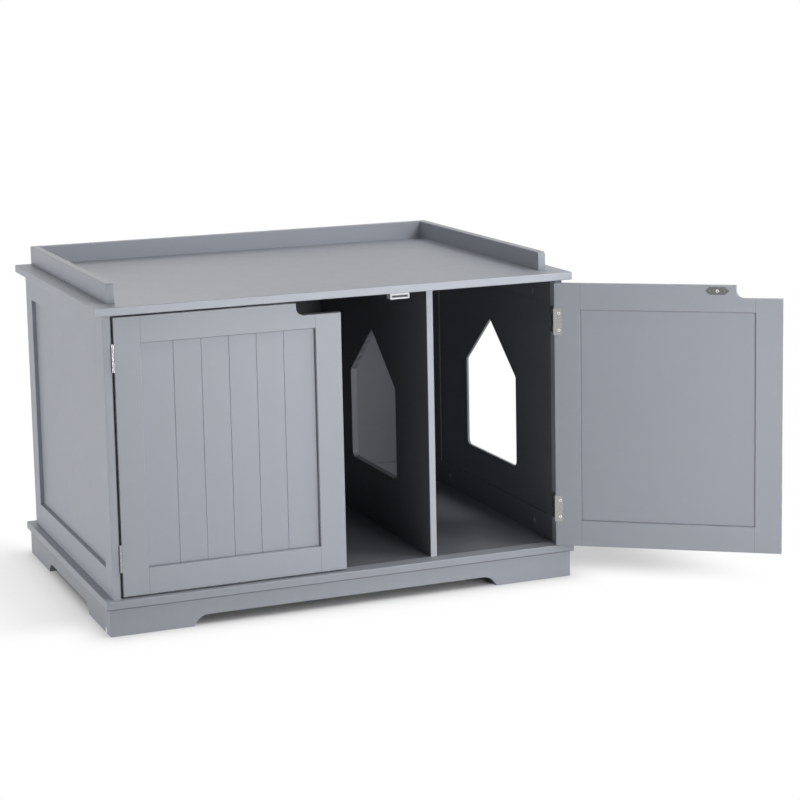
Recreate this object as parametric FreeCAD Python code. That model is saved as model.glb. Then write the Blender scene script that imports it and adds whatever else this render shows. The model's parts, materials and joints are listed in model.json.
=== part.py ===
import FreeCAD, Part
import math
import os

# Cat litter box cabinet: a painted board cabinet on a bracket plinth, with a
# three-sided gallery on its top, two frame-and-panel doors on butt hinges, and
# a divider.  A cat comes in by the house-shaped doorway in the right side and
# goes on through the one in the divider to the litter box on the left.
# Millimetres.  +X is the cabinet's right, +Y its rear, +Z up.  The origin lies
# on the floor, at the middle of the plinth's rear face.
# The left door stands closed and the right door open.

# ---- Driving dimensions ----

# Top board
TOP_WIDTH = 915.0
TOP_DEPTH = 640.0
TOP_THICK = 15.0
TOP_EDGE_ROUND = 2.0

# Gallery round the top
GALLERY_HEIGHT = 35.0
GALLERY_THICK = 15.0
GALLERY_SIDE_INSET = 32.5
GALLERY_FRONT_INSET = 46.5
GALLERY_NOSE_ROUND = 7.0
GALLERY_EDGE_EASE = 1.0

# Carcass: how far the top stands out past it, and its height
SIDE_OVERHANG = 15.0
FRONT_OVERHANG = 13.0
REAR_OVERHANG = 21.0
CARCASS_HEIGHT = 509.0

# Frame-and-panel work of the sides and the back
WALL_THICK = 15.0
WALL_STILE_WIDTH = 45.0
WALL_RAIL_WIDTH = 48.0
WALL_RECESS = 8.0

# What all frames share
FRAME_EDGE_EASE = 0.8
PANEL_THICK = 5.0
GROOVE_DEPTH = 8.0
GROOVE_PLAY = 1.0
TENON_LENGTH = 12.0
TENON_WIDTH = 14.0
TENON_SHOULDER = 1.0
TENON_PLAY = 1.0

# Base board and plinth
BASE_THICK = 15.0
PLINTH_HEIGHT = 50.0
PLINTH_THICK = 15.0
PLINTH_INSET = 6.0
PLINTH_EDGE_EASE = 0.8
FOOT_LENGTH = 155.0
PLINTH_CUT_HEIGHT = 19.0
PLINTH_CUT_ROUND = 28.0
CORNER_BLOCK_LEG = 32.0
CORNER_BLOCK_HEIGHT = 40.0

# Divider
DIVIDER_FROM_CENTRE = 174.0
DIVIDER_THICK = 12.0
DIVIDER_DOOR_GAP = 3.0

# House-shaped doorway
DOORWAY_WIDTH = 240.0
DOORWAY_SILL = 112.0
DOORWAY_WALL = 180.0
DOORWAY_ROOF = 100.0
DOORWAY_SILL_ROUND = 12.0
DOORWAY_EAVE_ROUND = 3.0
DOORWAY_PEAK_ROUND = 4.0

# Doors
DOOR_THICK = 15.0
DOOR_STILE_WIDTH = 49.0
DOOR_RAIL_WIDTH = 49.0
DOOR_RECESS = 7.0
DOOR_HINGE_GAP = 3.0
DOOR_MEETING_GAP = 3.0
DOOR_TOP_GAP = 4.0
DOOR_BOTTOM_GAP = 2.0
RIGHT_DOOR_OPEN = 145.0

# Finger pull cut out of each door's top corner
PULL_WIDTH = 85.0
PULL_DEPTH = 24.0
PULL_ROUND = 15.0

# Bead-board grooves in the door panels
BEAD_PITCH = 51.3
BEAD_GROOVE_WIDTH = 2.0
BEAD_GROOVE_DEPTH = 1.4

# Butt hinges, wrapped round the door's edge
HINGE_LENGTH = 50.0
HINGE_FROM_DOOR_END = 72.0
HINGE_KNUCKLES = 5
KNUCKLE_RADIUS = 2.5
PIN_RADIUS = 1.25
PIN_CLEARANCE = 0.05
PIN_GRIP_PLAY = 0.02
KNUCKLE_GAP = 0.8
LEAF_THICK = 1.2
DOOR_LEAF_WIDTH = 15.0
FRAME_LEAF_WIDTH = 17.0
LEAF_CORNER_CLIP = 1.6
HINGE_PROUD = 2.4
LEAF_SCREW_SPACING = 32.0
DOOR_SCREW_FROM_EDGE = 9.0
FRAME_SCREW_FROM_FRONT = 10.0

# Small fasteners are few-sided, and so are the holes that grip them
FASTENER_SIDES = 8

# Wood screws
SCREW_HEAD_RADIUS = 2.9
SCREW_HEAD_HEIGHT = 1.2
SCREW_SHANK_RADIUS = 1.4
SCREW_LENGTH = 11.0

# Magnetic catches under the top, and their strike plates on the doors
CATCH_FROM_CENTRE = 121.0
CATCH_WIDTH = 38.0
CATCH_DEPTH = 19.0
CATCH_HEIGHT = 15.0
CATCH_WALL = 3.0
CATCH_CORNER_EASE = 0.8
CATCH_LIP = 2.5
CATCH_WINDOW_HEIGHT = 5.0
CATCH_WINDOW_DEPTH = 14.0
CATCH_AIR_GAP = 0.4
CATCH_SCREW_FROM_REAR = 2.6
CATCH_SCREW_HEAD_RADIUS = 2.0
POLE_THICK = 1.2
POLE_SETBACK = 0.4
MAGNET_SETBACK = 1.2
STRIKE_LENGTH = 44.0
STRIKE_HEIGHT = 14.0
STRIKE_POINT = 8.0
STRIKE_THICK = 1.2
STRIKE_FROM_DOOR_TOP = 9.5
STRIKE_HOLE_SPACING = 27.4
STRIKE_HOLE_RADIUS = 1.6

# Cam fasteners in the side rails, and their bolts
CAM_RADIUS = 6.0
CAM_DEPTH = 10.0
CAM_FROM_END = 95.0
CAM_FROM_TOP = 33.0
CAM_FROM_BASE = 24.0
CAM_BOLT_RADIUS = 3.0
CAM_BOLT_BITE = 9.0

# Dowels of the divider, and the screws that hold the gallery
DOWEL_RADIUS = 3.0
DOWEL_BITE = 9.0
DOWEL_FROM_END = 70.0
GALLERY_SCREW_LENGTH = 35.0
GALLERY_SCREW_RADIUS = 1.9
GALLERY_SCREW_HEAD_RADIUS = 3.8
GALLERY_SCREW_HEAD_HEIGHT = 2.6
GALLERY_SCREW_FROM_END = 60.0
GALLERY_BACK_SCREWS = 3

# ---- Levels and planes that follow from them ----

BASE_TOP = PLINTH_HEIGHT + BASE_THICK
TOP_UNDER = BASE_TOP + CARCASS_HEIGHT
TOP_FACE = TOP_UNDER + TOP_THICK
TOP_REAR = PLINTH_INSET
TOP_FRONT = TOP_REAR - TOP_DEPTH
CARCASS_FRONT = TOP_FRONT + FRONT_OVERHANG
CARCASS_REAR = TOP_REAR - REAR_OVERHANG
CARCASS_DEPTH = CARCASS_REAR - CARCASS_FRONT
SIDE_OUTER = TOP_WIDTH / 2 - SIDE_OVERHANG
SIDE_INNER = SIDE_OUTER - WALL_THICK
BACK_INNER = CARCASS_REAR - WALL_THICK
PLINTH_HALF = TOP_WIDTH / 2 - PLINTH_INSET
PLINTH_FRONT = TOP_FRONT + PLINTH_INSET
DOOR_BOTTOM = BASE_TOP + DOOR_BOTTOM_GAP
DOOR_TOP = TOP_UNDER - DOOR_TOP_GAP
DOOR_HEIGHT = DOOR_TOP - DOOR_BOTTOM
DOOR_WIDTH = SIDE_INNER - DOOR_HINGE_GAP - DOOR_MEETING_GAP / 2
DOOR_EDGE = SIDE_INNER - DOOR_HINGE_GAP
DOOR_REAR = CARCASS_FRONT + DOOR_THICK
AXIS_X = SIDE_INNER - DOOR_HINGE_GAP / 2
AXIS_Y = CARCASS_FRONT - HINGE_PROUD
HINGE_CENTRES = (DOOR_BOTTOM + HINGE_FROM_DOOR_END, DOOR_TOP - HINGE_FROM_DOOR_END)
MIRROR_SIGNS = (-1, 1)
UP = FreeCAD.Vector(0, 0, 1)

# How far a cutter runs past what it cuts, and how near a plane counts as on it
MARGIN = 1.0
NEAR = 0.01
# Least share of an edge's length that lies along the axis it runs along
PARALLEL = 0.999


# ---- Small tools ----

def vec(x, y, z):
    """A point or direction."""
    return FreeCAD.Vector(x, y, z)


def block(x0, x1, y0, y1, z0, z1):
    """A box between two corners."""
    return Part.makeBox(x1 - x0, y1 - y0, z1 - z0, vec(x0, y0, z0))


def placed(shape, angle, origin):
    """A copy turned about Z and then moved."""
    copy = shape.copy()
    copy.rotate(vec(0, 0, 0), UP, angle)
    copy.translate(origin)
    return copy


def mirrored(shape):
    """A copy mirrored from the cabinet's left to its right."""
    return shape.mirror(vec(0, 0, 0), vec(1, 0, 0))


def swung(shape):
    """A copy of a right door's piece, turned from closed to where it stands."""
    copy = shape.copy()
    copy.rotate(vec(AXIS_X, AXIS_Y, 0), UP, RIGHT_DOOR_OPEN)
    return copy


def cut_all(shape, cutters):
    """The shape with every cutter taken out."""
    for cutter in cutters:
        shape = shape.cut(cutter)
    return shape


def rounded(shape, radius, wanted):
    """The shape with the edges that wanted(edge) picks rounded over."""
    return shape.makeFillet(radius, [edge for edge in shape.Edges if wanted(edge)])


def eased(shape, size, wanted):
    """The shape with the edges that wanted(edge) picks chamfered."""
    return shape.makeChamfer(size, [edge for edge in shape.Edges if wanted(edge)])


def runs_along(edge, axis):
    """Whether a straight edge lies along an axis, 0 for X, 1 for Y, 2 for Z."""
    span = edge.Vertexes[-1].Point - edge.Vertexes[0].Point
    return abs(span[axis]) > PARALLEL * span.Length


def rounded_outline(corners):
    """A closed wire through (y, z, radius) corners in the plane x = 0."""
    points = [vec(0, y, z) for y, z, radius in corners]
    edges = []
    starts = []
    ends = []
    for index, (y, z, radius) in enumerate(corners):
        corner = points[index]
        back = (points[index - 1] - corner).normalize()
        ahead = (points[(index + 1) % len(points)] - corner).normalize()
        half_angle = back.getAngle(ahead) / 2
        setback = radius / math.tan(half_angle)
        start = corner + back * setback
        end = corner + ahead * setback
        starts.append(start)
        ends.append(end)
        if radius > 0:
            bisector = (back + ahead).normalize()
            middle = corner + bisector * (radius / math.sin(half_angle) - radius)
            edges.append(Part.Arc(start, middle, end).toShape())
    for index in range(len(points)):
        edges.append(Part.LineSegment(ends[index - 1], starts[index]).toShape())
    return Part.Wire(Part.sortEdges(edges)[0])


def prism_along_x(wire, x0, x1):
    """The wire's face pushed from x0 to x1."""
    face = Part.Face(wire)
    face.translate(vec(x0, 0, 0))
    return face.extrude(vec(x1 - x0, 0, 0))


def turned(profile):
    """A few-sided solid about Z through a profile's (radius, z) rings, top first."""
    sides = FASTENER_SIDES
    steps = [2 * math.pi * index / sides for index in range(sides)]
    rings = [[vec(radius * math.cos(step), radius * math.sin(step), z) for step in steps]
             for radius, z in profile]
    outlines = [rings[0], rings[-1]]
    for upper, lower in zip(rings, rings[1:]):
        for index in range(sides):
            outlines.append([upper[index - 1], upper[index], lower[index], lower[index - 1]])
    faces = [Part.Face(Part.makePolygon(outline + outline[:1])) for outline in outlines]
    shell = Part.makeShell(faces)
    shell.sewShape()
    return Part.makeSolid(shell)


def aimed(shape, point, direction):
    """A copy whose +Z faces along direction, with its origin at point."""
    copy = shape.copy()
    turn = FreeCAD.Rotation(UP, direction)
    copy.Placement = FreeCAD.Placement(point, turn)
    return copy


def peg(radius, length, start, direction):
    """A few-sided pin from start along direction."""
    return aimed(turned(((radius, length), (radius, 0))), start, direction)


# ---- Frame-and-panel work ----

def framed_panel(width, height, thick, stile_width, rail_width, recess):
    """Stiles, rails and panel of a frame: X across, Y from face to back, Z up.

    The rails' stub tenons and the panel's edges share the groove's plane.
    """
    tongue_y = (recess, recess + PANEL_THICK)
    inner_x = (stile_width, width - stile_width)
    inner_z = (rail_width, height - rail_width)
    groove = block(inner_x[0] - GROOVE_DEPTH, inner_x[1] + GROOVE_DEPTH, tongue_y[0],
                   tongue_y[1], inner_z[0] - GROOVE_DEPTH, inner_z[1] + GROOVE_DEPTH)
    edge = GROOVE_DEPTH - GROOVE_PLAY
    panel = block(inner_x[0] - edge, inner_x[1] + edge, tongue_y[0], tongue_y[1],
                  inner_z[0] - edge, inner_z[1] + edge)
    offset = GROOVE_DEPTH + TENON_SHOULDER
    tenon_levels = ((inner_z[0] - offset - TENON_WIDTH, inner_z[0] - offset),
                    (inner_z[1] + offset, inner_z[1] + offset + TENON_WIDTH))
    rails = []
    mortises = []
    for rail_z, (low, high) in zip(((0, inner_z[0]), (inner_z[1], height)), tenon_levels):
        rail = block(inner_x[0], inner_x[1], 0, thick, *rail_z).cut(groove)
        tenon = block(inner_x[0] - TENON_LENGTH, inner_x[1] + TENON_LENGTH, *tongue_y, low, high)
        reach = TENON_LENGTH + TENON_PLAY
        mortise = block(inner_x[0] - reach, inner_x[1] + reach, *tongue_y, low, high)
        rails.append(rail.fuse(tenon).removeSplitter())
        mortises.append(mortise)
    stiles = []
    for stile_x in ((0, inner_x[0]), (inner_x[1], width)):
        stile = block(*stile_x, 0, thick, 0, height)
        stiles.append(cut_all(stile, [groove] + mortises))
    return {"first_stile": stiles[0], "last_stile": stiles[1], "bottom_rail": rails[0],
            "top_rail": rails[1], "panel": panel}


def frame_outline(width, height, thick, stile_width, rail_width):
    """The stiles and rails as one solid, without their joints."""
    whole = block(0, width, 0, thick, 0, height)
    window = block(stile_width, width - stile_width, 0, thick, rail_width, height - rail_width)
    return whole.cut(window)


def with_eased_edges(frame, outline, faces):
    """The frame, its edges on the faces at these depths eased as the outline's are."""
    def is_on_face(edge):
        return min(abs(edge.CenterOfMass.y - depth) for depth in faces) < NEAR

    worn = eased(outline, FRAME_EDGE_EASE, is_on_face)
    return {name: shape if name == "panel" else shape.common(worn)
            for name, shape in frame.items()}


def wall_frame(width):
    """A frame of the sides and the back, as high as the carcass."""
    frame = framed_panel(width, CARCASS_HEIGHT, WALL_THICK, WALL_STILE_WIDTH,
                         WALL_RAIL_WIDTH, WALL_RECESS)
    outline = frame_outline(width, CARCASS_HEIGHT, WALL_THICK, WALL_STILE_WIDTH, WALL_RAIL_WIDTH)
    return with_eased_edges(frame, outline, (0,))


def doorway_cutter(x0, x1):
    """The house-shaped doorway, halfway along the carcass, from x0 to x1."""
    middle = (CARCASS_FRONT + CARCASS_REAR) / 2
    half = DOORWAY_WIDTH / 2
    sill = BASE_TOP + DOORWAY_SILL
    eave = sill + DOORWAY_WALL
    corners = ((middle - half, sill, DOORWAY_SILL_ROUND),
               (middle + half, sill, DOORWAY_SILL_ROUND),
               (middle + half, eave, DOORWAY_EAVE_ROUND),
               (middle, eave + DOORWAY_ROOF, DOORWAY_PEAK_ROUND),
               (middle - half, eave, DOORWAY_EAVE_ROUND))
    return prism_along_x(rounded_outline(corners), x0, x1)


# ---- Screws ----

def screw(length, head_radius, head_height, shank_radius):
    """A countersunk screw, head up at the origin."""
    profile = ((head_radius, 0), (shank_radius, -head_height), (shank_radius, -length))
    return turned(profile)


def wood_screws(points, direction):
    """Small screws with their heads at the points; they also cut their own seats."""
    one = screw(SCREW_LENGTH, SCREW_HEAD_RADIUS, SCREW_HEAD_HEIGHT, SCREW_SHANK_RADIUS)
    return [aimed(one, point, direction) for point in points]


# ---- Top and gallery ----

def gallery_screw_points():
    """Where the gallery's screws start, in the top board's underside."""
    rail_x = TOP_WIDTH / 2 - GALLERY_SIDE_INSET - GALLERY_THICK / 2
    ends = (TOP_FRONT + GALLERY_FRONT_INSET + GALLERY_SCREW_FROM_END,
            TOP_REAR - GALLERY_SCREW_FROM_END)
    points = [vec(sign * rail_x, y, TOP_UNDER) for sign in MIRROR_SIGNS for y in ends]
    half_run = rail_x - GALLERY_SCREW_FROM_END
    for index in range(GALLERY_BACK_SCREWS):
        x = half_run * (2 * index / (GALLERY_BACK_SCREWS - 1) - 1)
        points.append(vec(x, TOP_REAR - GALLERY_THICK / 2, TOP_UNDER))
    return points


def gallery_screws():
    """Long screws up through the top board."""
    one = screw(GALLERY_SCREW_LENGTH, GALLERY_SCREW_HEAD_RADIUS,
                GALLERY_SCREW_HEAD_HEIGHT, GALLERY_SCREW_RADIUS)
    return [aimed(one, point, vec(0, 0, -1)) for point in gallery_screw_points()]


def gallery_rails(seats):
    """The back rail, and the two side rails with rounded noses."""
    outer = TOP_WIDTH / 2 - GALLERY_SIDE_INSET
    inner = outer - GALLERY_THICK
    level = (TOP_FACE, TOP_FACE + GALLERY_HEIGHT)
    nose = TOP_FRONT + GALLERY_FRONT_INSET

    def is_nose(edge):
        return runs_along(edge, 0) and edge.CenterOfMass.z > level[1] - NEAR and (
            edge.CenterOfMass.y < nose + NEAR)

    def is_top(edge):
        return edge.CenterOfMass.z > level[1] - NEAR and not runs_along(edge, 0)

    side = rounded(block(-outer, -inner, nose, TOP_REAR, *level), GALLERY_NOSE_ROUND, is_nose)
    side = eased(side, GALLERY_EDGE_EASE, is_top)
    back = block(-inner, inner, TOP_REAR - GALLERY_THICK, TOP_REAR, *level)
    back = eased(back, GALLERY_EDGE_EASE,
                 lambda edge: runs_along(edge, 0) and edge.CenterOfMass.z > level[1] - NEAR)
    return {"gallery_back_rail": cut_all(back, seats),
            "gallery_left_rail": cut_all(side, seats),
            "gallery_right_rail": cut_all(mirrored(side), seats)}


def board(low, high, seats):
    """A board the size of the top, its faces' edges rounded over."""
    half = TOP_WIDTH / 2
    plain = block(-half, half, TOP_FRONT, TOP_REAR, low, high)
    smooth = rounded(plain, TOP_EDGE_ROUND, lambda edge: not runs_along(edge, 2))
    return cut_all(smooth, seats)


# ---- Plinth ----

def bracket_cutter(half_length):
    """The gap between two feet along X, its upper corners swept down."""
    rise = PLINTH_CUT_ROUND - PLINTH_CUT_HEIGHT
    run = math.sqrt(PLINTH_CUT_ROUND ** 2 - rise ** 2)
    middle_angle = (math.pi / 2 + math.asin(rise / PLINTH_CUT_ROUND)) / 2
    centre_z = PLINTH_CUT_HEIGHT - PLINTH_CUT_ROUND
    flat = half_length - run
    bow_x = flat + PLINTH_CUT_ROUND * math.cos(middle_angle)
    bow_z = centre_z + PLINTH_CUT_ROUND * math.sin(middle_angle)
    edges = [Part.LineSegment(vec(-half_length, 0, 0), vec(half_length, 0, 0)).toShape(),
             Part.Arc(vec(half_length, 0, 0), vec(bow_x, 0, bow_z),
                      vec(flat, 0, PLINTH_CUT_HEIGHT)).toShape(),
             Part.LineSegment(vec(flat, 0, PLINTH_CUT_HEIGHT),
                              vec(-flat, 0, PLINTH_CUT_HEIGHT)).toShape(),
             Part.Arc(vec(-flat, 0, PLINTH_CUT_HEIGHT), vec(-bow_x, 0, bow_z),
                      vec(-half_length, 0, 0)).toShape()]
    face = Part.Face(Part.Wire(edges))
    face.translate(vec(0, -MARGIN, 0))
    return face.extrude(vec(0, PLINTH_THICK + 2 * MARGIN, 0))


def plinth_board(length, cut_out):
    """A mitred board along X, its outer face at y = 0 and its ends on X."""
    half = length / 2
    inner_half = half - PLINTH_THICK
    outline = [vec(-half, 0, 0), vec(half, 0, 0), vec(inner_half, PLINTH_THICK, 0),
               vec(-inner_half, PLINTH_THICK, 0), vec(-half, 0, 0)]
    plank = Part.Face(Part.makePolygon(outline)).extrude(vec(0, 0, PLINTH_HEIGHT))
    if not cut_out:
        return plank
    plank = plank.cut(bracket_cutter(half - FOOT_LENGTH))
    return eased(plank, PLINTH_EDGE_EASE,
                 lambda edge: abs(edge.CenterOfMass.y) < NEAR and not runs_along(edge, 2))


def plinth():
    """Four boards mitred at the corners; the rear one has no cut-out."""
    depth = -PLINTH_FRONT
    middle = PLINTH_FRONT / 2
    side = placed(plinth_board(depth, True), -90, vec(-PLINTH_HALF, middle, 0))
    return {"plinth_front": placed(plinth_board(2 * PLINTH_HALF, True), 0,
                                   vec(0, PLINTH_FRONT, 0)),
            "plinth_back": placed(plinth_board(2 * PLINTH_HALF, False), 180, vec(0, 0, 0)),
            "plinth_left": side,
            "plinth_right": mirrored(side)}


def corner_blocks():
    """Three-cornered blocks glued into the plinth's corners under the base."""
    x = PLINTH_HALF - PLINTH_THICK
    ends = ((PLINTH_FRONT + PLINTH_THICK, 1), (-PLINTH_THICK, -1))
    low = PLINTH_HEIGHT - CORNER_BLOCK_HEIGHT
    blocks = []
    for sign in MIRROR_SIGNS:
        for y, inward in ends:
            corner = vec(sign * x, y, low)
            along_x = corner - vec(sign * CORNER_BLOCK_LEG, 0, 0)
            along_y = corner + vec(0, inward * CORNER_BLOCK_LEG, 0)
            face = Part.Face(Part.makePolygon([corner, along_x, along_y, corner]))
            blocks.append(face.extrude(vec(0, 0, CORNER_BLOCK_HEIGHT)))
    return blocks


# ---- Fasteners of the carcass ----

def cam_places():
    """(sign, y, z, up or down) of each cam in the side rails' inner faces."""
    rows = ((TOP_UNDER - CAM_FROM_TOP, 1), (BASE_TOP + CAM_FROM_BASE, -1))
    columns = (CARCASS_FRONT + CAM_FROM_END, CARCASS_REAR - CAM_FROM_END)
    return [(sign, y, z, way) for sign in MIRROR_SIGNS for y in columns for z, way in rows]


def cam_bolt(sign, y, z, way):
    """The bolt from a cam's middle into the top or the base board."""
    start = vec(sign * (SIDE_INNER + WALL_THICK / 2), y, z)
    joint = TOP_UNDER if way > 0 else BASE_TOP
    reach = abs(joint - z) + CAM_BOLT_BITE
    return peg(CAM_BOLT_RADIUS, reach, start, vec(0, 0, way))


def cam_drum(sign, y, z):
    """The cam's drum, flush with the rail's inner face."""
    start = vec(sign * SIDE_INNER, y, z)
    return peg(CAM_RADIUS, CAM_DEPTH, start, vec(sign, 0, 0))


def divider_dowels():
    """Two dowels through each end of the divider into top and base."""
    x = DIVIDER_FROM_CENTRE + DIVIDER_THICK / 2
    front = CARCASS_FRONT + DOOR_THICK + DIVIDER_DOOR_GAP
    dowels = []
    for level in (BASE_TOP, TOP_UNDER):
        for y in (front + DOWEL_FROM_END, BACK_INNER - DOWEL_FROM_END):
            start = vec(x, y, level - DOWEL_BITE)
            dowels.append(peg(DOWEL_RADIUS, 2 * DOWEL_BITE, start, UP))
    return dowels


# ---- Magnetic catches ----

def catch_front():
    """The plane that a catch's housing starts at, behind the strike plate."""
    return DOOR_REAR + STRIKE_THICK + CATCH_AIR_GAP


def catch_pieces():
    """Housings, magnets, pole plates and screws of both catches."""
    front = catch_front()
    rear = front + CATCH_DEPTH
    low = TOP_UNDER - CATCH_HEIGHT
    window_z = (low + CATCH_LIP, low + CATCH_LIP + CATCH_WINDOW_HEIGHT)
    half_window = CATCH_WIDTH / 2 - CATCH_WALL
    window_rear = front + CATCH_WINDOW_DEPTH
    pole_front = front + POLE_SETBACK
    housings = []
    magnets = []
    poles = []
    screw_points = []
    for sign in MIRROR_SIGNS:
        x = sign * CATCH_FROM_CENTRE
        body = block(x - CATCH_WIDTH / 2, x + CATCH_WIDTH / 2, front, rear, low, TOP_UNDER)
        body = eased(body, CATCH_CORNER_EASE, lambda edge: runs_along(edge, 2))
        window = block(x - half_window, x + half_window, front - MARGIN, window_rear, *window_z)
        housings.append(body.cut(window))
        lower = block(x - half_window, x + half_window, pole_front, window_rear,
                      window_z[0], window_z[0] + POLE_THICK)
        upper = block(x - half_window, x + half_window, pole_front, window_rear,
                      window_z[1] - POLE_THICK, window_z[1])
        magnet = block(x - half_window, x + half_window, front + MAGNET_SETBACK, window_rear,
                       window_z[0] + POLE_THICK, window_z[1] - POLE_THICK)
        poles.extend((lower, upper))
        magnets.append(magnet)
        screw_y = rear - CATCH_SCREW_FROM_REAR
        for side in MIRROR_SIGNS:
            screw_points.append(vec(x + side * (half_window - CATCH_WALL), screw_y, low))
    one = screw(CATCH_HEIGHT + SCREW_LENGTH, CATCH_SCREW_HEAD_RADIUS,
                SCREW_HEAD_HEIGHT, SCREW_SHANK_RADIUS)
    screws = [aimed(one, point, vec(0, 0, -1)) for point in screw_points]
    housings = [cut_all(housing, screws) for housing in housings]
    return housings, magnets, poles, screws


# ---- Doors, modelled closed on the left ----

def bead_grooves(height):
    """V-grooves down the face of a door panel, spread from its middle."""
    visible = DOOR_WIDTH - 2 * DOOR_STILE_WIDTH
    count = round(visible / BEAD_PITCH) - 1
    half = BEAD_GROOVE_WIDTH / 2
    grooves = []
    for index in range(count):
        x = DOOR_WIDTH / 2 + (index - (count - 1) / 2) * BEAD_PITCH
        outline = [vec(x - half, DOOR_RECESS, 0), vec(x + half, DOOR_RECESS, 0),
                   vec(x, DOOR_RECESS + BEAD_GROOVE_DEPTH, 0), vec(x - half, DOOR_RECESS, 0)]
        grooves.append(Part.Face(Part.makePolygon(outline)).extrude(vec(0, 0, height)))
    return grooves


def pull_cutter():
    """The finger pull at the door's free top corner, in the door's frame."""
    corners = ((-DOOR_WIDTH - MARGIN, DOOR_HEIGHT - PULL_DEPTH, 0),
               (-DOOR_WIDTH - MARGIN, DOOR_HEIGHT + MARGIN, 0),
               (-DOOR_WIDTH + PULL_WIDTH, DOOR_HEIGHT + MARGIN, 0),
               (-DOOR_WIDTH + PULL_WIDTH, DOOR_HEIGHT - PULL_DEPTH, PULL_ROUND))
    prism = prism_along_x(rounded_outline(corners), -MARGIN, DOOR_THICK + MARGIN)
    return placed(prism, 90, vec(0, 0, 0))


def door_frame():
    """The left door's stiles, rails and panel, closed."""
    frame = framed_panel(DOOR_WIDTH, DOOR_HEIGHT, DOOR_THICK, DOOR_STILE_WIDTH,
                         DOOR_RAIL_WIDTH, DOOR_RECESS)
    frame["panel"] = cut_all(frame["panel"], bead_grooves(DOOR_HEIGHT))
    outline = frame_outline(DOOR_WIDTH, DOOR_HEIGHT, DOOR_THICK, DOOR_STILE_WIDTH,
                            DOOR_RAIL_WIDTH).cut(pull_cutter())
    corner = vec(-DOOR_EDGE, CARCASS_FRONT, DOOR_BOTTOM)
    return {name: placed(shape, 0, corner)
            for name, shape in with_eased_edges(frame, outline, (0, DOOR_THICK)).items()}


def strike_plate(seats):
    """The six-cornered steel plate on the left door's back."""
    x = -CATCH_FROM_CENTRE
    z = DOOR_TOP - STRIKE_FROM_DOOR_TOP
    half = STRIKE_LENGTH / 2
    rise = STRIKE_HEIGHT / 2
    flat = half - STRIKE_POINT
    outline = [vec(x - half, DOOR_REAR, z), vec(x - flat, DOOR_REAR, z + rise),
               vec(x + flat, DOOR_REAR, z + rise), vec(x + half, DOOR_REAR, z),
               vec(x + flat, DOOR_REAR, z - rise), vec(x - flat, DOOR_REAR, z - rise),
               vec(x - half, DOOR_REAR, z)]
    plate = Part.Face(Part.makePolygon(outline)).extrude(vec(0, STRIKE_THICK, 0))
    for side in MIRROR_SIGNS:
        start = vec(x + side * STRIKE_HOLE_SPACING / 2, DOOR_REAR, z)
        hole = peg(STRIKE_HOLE_RADIUS, STRIKE_THICK, start, vec(0, 1, 0))
        plate = plate.cut(hole)
    return cut_all(plate, seats)


def strike_screw_point():
    """Where the left strike plate's middle screw starts."""
    return vec(-CATCH_FROM_CENTRE, DOOR_REAR + STRIKE_THICK, DOOR_TOP - STRIKE_FROM_DOOR_TOP)


# ---- Hinges, on the left ----

def leaf_screw_levels():
    """Heights of the hinges' screws."""
    half = LEAF_SCREW_SPACING / 2
    return [centre + step for centre in HINGE_CENTRES for step in (-half, half)]


def knuckle_spans(centre, remainder):
    """(low, high) of every second knuckle of a hinge, from the first or second."""
    pitch = (HINGE_LENGTH + KNUCKLE_GAP) / HINGE_KNUCKLES
    bottom = centre - HINGE_LENGTH / 2
    return [(bottom + index * pitch, bottom + (index + 1) * pitch - KNUCKLE_GAP)
            for index in range(remainder, HINGE_KNUCKLES, 2)]


def with_knuckles(leaf, face_x, thick, spans, bore):
    """A leaf joined to its knuckles, with the bore taken out along the hinge's axis."""
    for low, high in spans:
        ring = Part.makeCylinder(KNUCKLE_RADIUS, high - low, vec(-AXIS_X, AXIS_Y, low))
        tab = block(face_x, face_x + thick, AXIS_Y, leaf_start() + MARGIN, low, high)
        leaf = leaf.fuse(ring).fuse(tab)
    return leaf.removeSplitter().cut(bore)


def leaf_start():
    """Where a leaf's flat begins, clear of the other leaf's knuckles."""
    return AXIS_Y + KNUCKLE_RADIUS + KNUCKLE_GAP


def frame_leaf(centre, seats):
    """The hinge leaf on the side's front stile."""
    low = centre - HINGE_LENGTH / 2
    high = centre + HINGE_LENGTH / 2
    rear = CARCASS_FRONT + FRAME_LEAF_WIDTH
    flat = block(-SIDE_INNER, -SIDE_INNER + LEAF_THICK, leaf_start(), rear, low, high)
    flat = eased(flat, LEAF_CORNER_CLIP,
                 lambda edge: runs_along(edge, 0) and edge.CenterOfMass.y > rear - NEAR)
    grip = (PIN_RADIUS + PIN_GRIP_PLAY) / math.cos(math.pi / FASTENER_SIDES)
    bore = peg(grip, HINGE_LENGTH, vec(-AXIS_X, AXIS_Y, low), UP)
    leaf = with_knuckles(flat, -SIDE_INNER, LEAF_THICK, knuckle_spans(centre, 0), bore)
    return cut_all(leaf, seats)


def door_leaf(centre, seats):
    """The hinge leaf round the door's edge and onto its back."""
    low = centre - HINGE_LENGTH / 2
    high = centre + HINGE_LENGTH / 2
    outer = -DOOR_EDGE - LEAF_THICK
    rear = DOOR_REAR + LEAF_THICK
    end = -DOOR_EDGE + DOOR_LEAF_WIDTH
    edge_part = block(outer, -DOOR_EDGE, leaf_start(), rear, low, high)
    back_part = block(-DOOR_EDGE, end, DOOR_REAR, rear, low, high)
    back_part = eased(back_part, LEAF_CORNER_CLIP,
                      lambda edge: runs_along(edge, 1) and edge.CenterOfMass.x > end - NEAR)
    flat = edge_part.fuse(back_part).removeSplitter()
    bore = Part.makeCylinder(PIN_RADIUS + PIN_CLEARANCE, HINGE_LENGTH, vec(-AXIS_X, AXIS_Y, low))
    leaf = with_knuckles(flat, outer, LEAF_THICK, knuckle_spans(centre, 1), bore)
    return cut_all(leaf, seats)


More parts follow.
